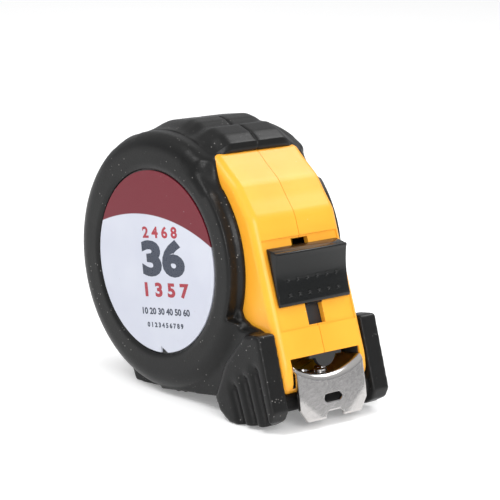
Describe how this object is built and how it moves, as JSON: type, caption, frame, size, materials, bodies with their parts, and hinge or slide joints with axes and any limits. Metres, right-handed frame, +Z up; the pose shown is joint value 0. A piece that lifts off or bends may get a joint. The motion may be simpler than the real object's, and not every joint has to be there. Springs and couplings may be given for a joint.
{
  "type": "tape measure",
  "caption": "Pocket tape measure with a spring-wound steel blade, sliding end hook, thumb lock, belt clip and a rubber grip moulded round the case.",
  "frame": {"origin": "middle of the base, on the surface the tape stands on, under the middle of its overall box", "axes": "+X towards the mouth, where the blade comes out, +Z up, +Y to the side with the belt clip"},
  "size_m": [0.0936, 0.0508, 0.0809],
  "materials": {
    "case_yellow": "satin moulded ABS",
    "grip_rubber": "matt moulded rubber",
    "label_print": "printed film",
    "post_steel": "turned steel",
    "drum_plastic": "moulded nylon",
    "spring_steel": "blued spring steel",
    "blade_steel": "lacquered blade",
    "hook_steel": "bright nickel plate",
    "screw_steel": "zinc plate",
    "button_plastic": "fine textured",
    "clip_steel": "black phosphate",
    "bumper_rubber": "soft rubber"
  },
  "bodies": {
    "case": {"case_right": "case_yellow", "case_left": "case_yellow", "grip_right": "grip_rubber", "grip_left": "grip_rubber", "label_right": "label_print", "label_left": "label_print", "spindle_post": "post_steel", "spindle_screw": "screw_steel", "case_screws": "screw_steel", "belt_clip": "clip_steel", "belt_clip_screw": "screw_steel", "blade_guide": "drum_plastic", "hook_bumper": "bumper_rubber", "lock_spring": "spring_steel", "blade_bend": "blade_steel"},
    "drum": {"drum": "drum_plastic", "drum_cover": "drum_plastic", "power_spring": "spring_steel", "blade_coil": "blade_steel"},
    "blade": {"blade_lead": "blade_steel", "hook_rivets": "hook_steel"},
    "hook": {"end_hook": "hook_steel"},
    "lock": {"lock_button": "button_plastic", "lock_screw": "screw_steel", "lock_carrier": "drum_plastic", "brake_shoe": "bumper_rubber"}
  },
  "joints": [
    {"name": "blade_pull", "type": "slide", "parent": "case", "child": "blade", "axis": [0.9879, 0, 0.1553], "range_m": [0, 0.03], "stiffness_N_per_m": 100, "springref_m": -0.05},
    {"name": "drum_spin", "type": "hinge", "parent": "case", "child": "drum", "pos_m": [-0.00838, -0.003, 0.03977], "axis": [0, 1, 0], "range_deg": [-70, 0]},
    {"name": "hook_play", "type": "slide", "parent": "blade", "child": "hook", "axis": [0.9879, 0, 0.1553], "range_m": [0, 0.001]},
    {"name": "lock_slide", "type": "slide", "parent": "case", "child": "lock", "axis": [0.3444, 0, -0.9388], "range_m": [0, 0.0055]}
  ],
  "couplings": [
    {"joint": "drum_spin", "follows": "blade_pull", "rad_per_m": -38.265}
  ]
}
